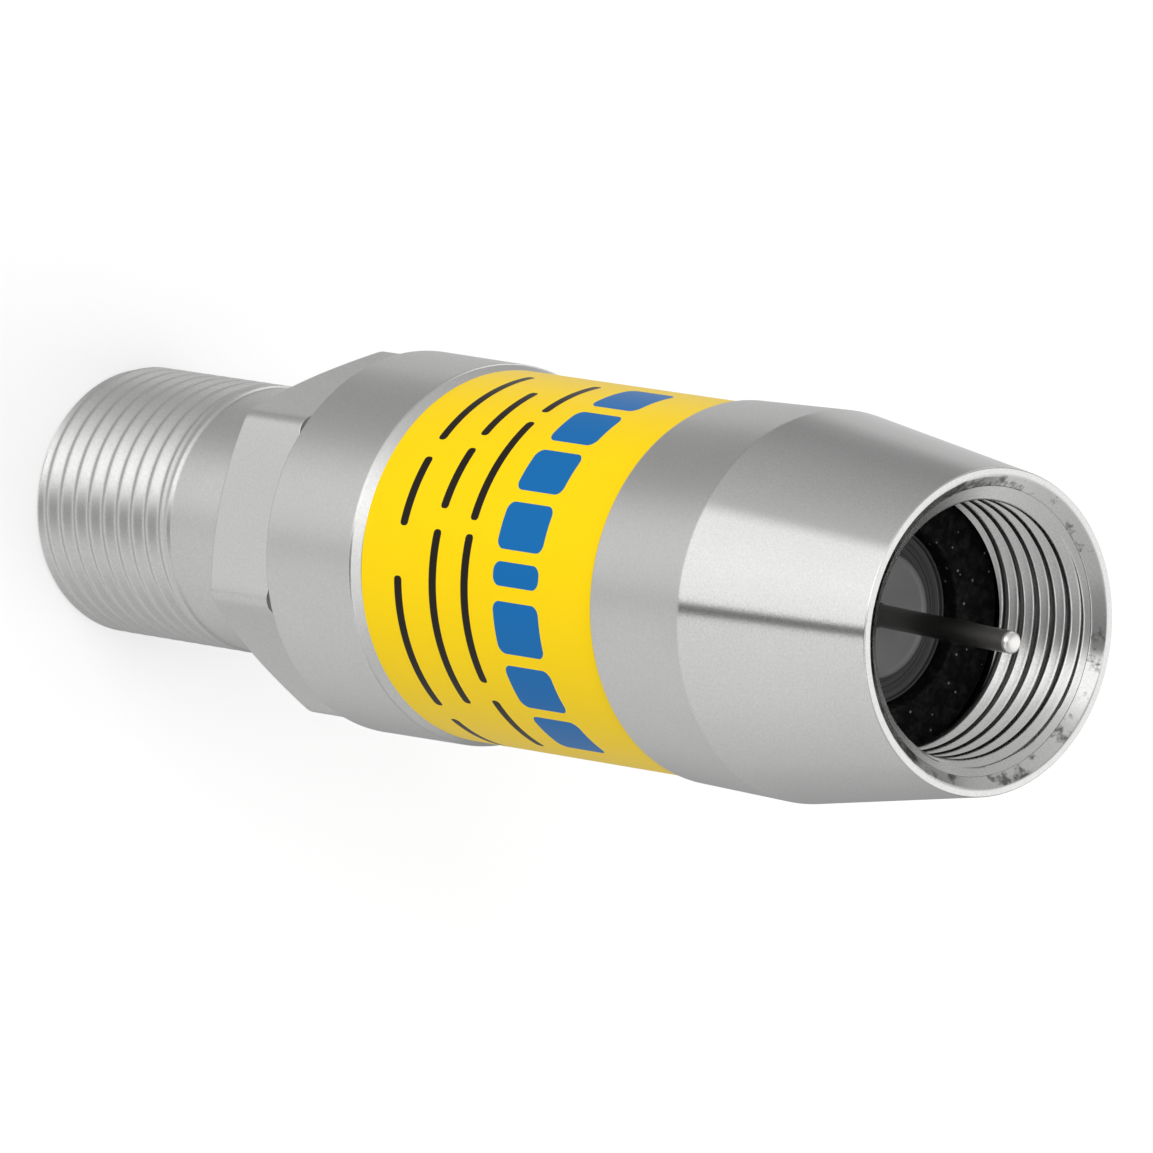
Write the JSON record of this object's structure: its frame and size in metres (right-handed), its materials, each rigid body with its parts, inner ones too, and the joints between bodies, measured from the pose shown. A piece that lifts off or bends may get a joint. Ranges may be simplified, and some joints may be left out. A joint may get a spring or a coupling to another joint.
{
  "type": "coaxial antenna surge arrester adapter",
  "caption": "Inline coaxial adapter: threaded female socket with a hexagon at one end, smooth tube with a label, and a cone nose with internal thread and centre pin at the other.",
  "frame": {"origin": "centre of the socket's end face, on which the adapter stands", "axes": "+Z along the adapter's axis, towards the nose and its pin; two corners of the hexagon lie on X"},
  "size_m": [0.0136, 0.0136, 0.0468],
  "materials": {
    "housing_nickel": "satin nickel plate on turned brass",
    "socket_nickel": "satin nickel plate on turned brass",
    "label_film": "printed yellow film",
    "pin_nickel": "nickel plate on brass wire",
    "grey_plastic": "moulded, matt",
    "black_rubber": "matt",
    "white_plastic": "moulded, matt",
    "contact_bronze": "bright spring bronze",
    "tinned_ring": "tin plate",
    "board_laminate": "solder mask over glass laminate",
    "coil_wire": "lacquered copper wire",
    "chip_ceramic": "fired ceramic",
    "arrester_ceramic": "glazed ceramic with metal caps"
  },
  "bodies": {
    "root": {"main_housing": "housing_nickel", "socket_body": "socket_nickel", "label": "label_film", "centre_pin": "pin_nickel", "front_insulator": "grey_plastic", "nose_seal_ring": "black_rubber", "body_o_ring": "black_rubber", "socket_insulator": "white_plastic", "contact_support_bead": "white_plastic", "socket_contact": "contact_bronze", "earth_spring": "contact_bronze", "earth_ring": "tinned_ring", "circuit_board": "board_laminate", "matching_coil": "coil_wire", "chip_capacitor_rear": "chip_ceramic", "chip_capacitor_front": "chip_ceramic", "gas_arrester": "arrester_ceramic"}
  },
  "joints": []
}
